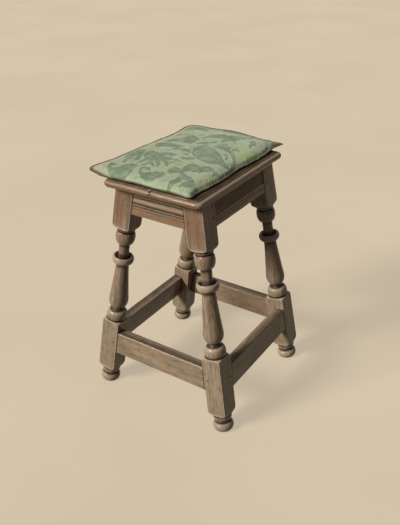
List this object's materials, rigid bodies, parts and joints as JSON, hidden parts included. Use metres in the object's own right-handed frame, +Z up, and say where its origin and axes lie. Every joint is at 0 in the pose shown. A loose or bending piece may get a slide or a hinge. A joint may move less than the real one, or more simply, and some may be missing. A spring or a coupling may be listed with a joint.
{
  "type": "upholstered footstool",
  "caption": "Joined stool with splayed turned legs, moulded rails, box stretchers, a rounded seat board and a loose damask squab pad.",
  "frame": {"origin": "on the floor, under the middle of the seat board", "axes": "+Z up; X along the long side of the seat; the front long side faces -Y"},
  "size_m": [0.3704, 0.385, 0.5683],
  "materials": {
    "oak": "waxed and worn",
    "oak_pegs": "end grain, waxed",
    "silk_damask": "satin figure on a matt ground",
    "wool_filling": "matt",
    "linen_lining": "matt"
  },
  "bodies": {
    "stool": {"leg_front_left": "oak", "leg_front_right": "oak", "leg_back_left": "oak", "leg_back_right": "oak", "rail_front": "oak", "rail_back": "oak", "rail_left": "oak", "rail_right": "oak", "stretcher_front": "oak", "stretcher_back": "oak", "stretcher_left": "oak", "stretcher_right": "oak", "seat_board": "oak", "rail_peg_front_left_upper": "oak_pegs", "rail_peg_front_left_lower": "oak_pegs", "rail_peg_front_right_upper": "oak_pegs", "rail_peg_front_right_lower": "oak_pegs", "rail_peg_back_left_upper": "oak_pegs", "rail_peg_back_left_lower": "oak_pegs", "rail_peg_back_right_upper": "oak_pegs", "rail_peg_back_right_lower": "oak_pegs", "rail_peg_left_front_upper": "oak_pegs", "rail_peg_left_front_lower": "oak_pegs", "rail_peg_left_back_upper": "oak_pegs", "rail_peg_left_back_lower": "oak_pegs", "rail_peg_right_front_upper": "oak_pegs", "rail_peg_right_front_lower": "oak_pegs", "rail_peg_right_back_upper": "oak_pegs", "rail_peg_right_back_lower": "oak_pegs", "stretcher_peg_front_left": "oak_pegs", "stretcher_peg_front_right": "oak_pegs", "stretcher_peg_back_left": "oak_pegs", "stretcher_peg_back_right": "oak_pegs", "stretcher_peg_left_front": "oak_pegs", "stretcher_peg_left_back": "oak_pegs", "stretcher_peg_right_front": "oak_pegs", "stretcher_peg_right_back": "oak_pegs", "board_peg_front_left": "oak_pegs", "board_peg_front_right": "oak_pegs", "board_peg_back_left": "oak_pegs", "board_peg_back_right": "oak_pegs"},
    "pad": {"pad_cover": "silk_damask", "pad_filling": "wool_filling", "pad_lining": "linen_lining"}
  },
  "joints": [
    {"name": "pad_lift", "type": "slide", "parent": "stool", "child": "pad", "axis": [0, 0, 1], "range_m": [0, 0.12]}
  ]
}
